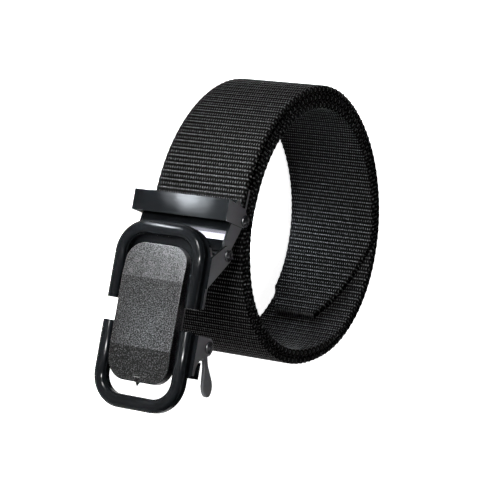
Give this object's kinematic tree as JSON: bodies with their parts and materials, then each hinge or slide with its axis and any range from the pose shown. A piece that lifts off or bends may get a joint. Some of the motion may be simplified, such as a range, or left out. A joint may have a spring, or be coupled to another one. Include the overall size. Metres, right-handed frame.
{
  "type": "ratchet belt",
  "caption": "Rolled black web belt lying on its side, with a hinged automatic buckle: frosted face plate, U frames, keeper loop and release lever.",
  "frame": {"origin": "centre of the belt's box at the surface that the coil and the buckle's lower side rest on", "axes": "+Z along the coil's winding axis, up; -Y out of the buckle's front; +X along the buckle, away from the strap's clamp"},
  "size_m": [0.1316, 0.1304, 0.0417],
  "materials": {
    "nylon_web": "woven ribs, satin black",
    "gloss_black": "polished black plating",
    "frosted_black": "blasted, fine grain",
    "dark_steel": "satin gunmetal plating"
  },
  "bodies": {
    "strap_and_clamp": {"webbing_strap": "nylon_web", "clamp_body": "dark_steel", "keeper_pin": "dark_steel", "hinge_pin": "dark_steel"},
    "keeper": {"keeper_loop": "gloss_black"},
    "buckle": {"buckle_body": "dark_steel", "upper_frame": "gloss_black", "lower_frame": "gloss_black", "face_plate": "frosted_black", "cam_pin": "dark_steel"},
    "lever": {"cam_lever": "dark_steel"}
  },
  "joints": [
    {"name": "keeper_swing", "type": "hinge", "parent": "strap_and_clamp", "child": "keeper", "pos_m": [-0.00657, -0.04369, 0.0202], "axis": [0, 0, 1], "range_deg": [-45, 0]},
    {"name": "buckle_hinge", "type": "hinge", "parent": "strap_and_clamp", "child": "buckle", "pos_m": [0.00675, -0.05101, 0.0202], "axis": [0, 0, 1], "range_deg": [-18, 25]},
    {"name": "release_lever", "type": "hinge", "parent": "buckle", "child": "lever", "pos_m": [0.0398, -0.05312, 0.0202], "axis": [0, 0, 1], "range_deg": [-18, 0], "stiffness_Nm_per_rad": 0.02}
  ]
}
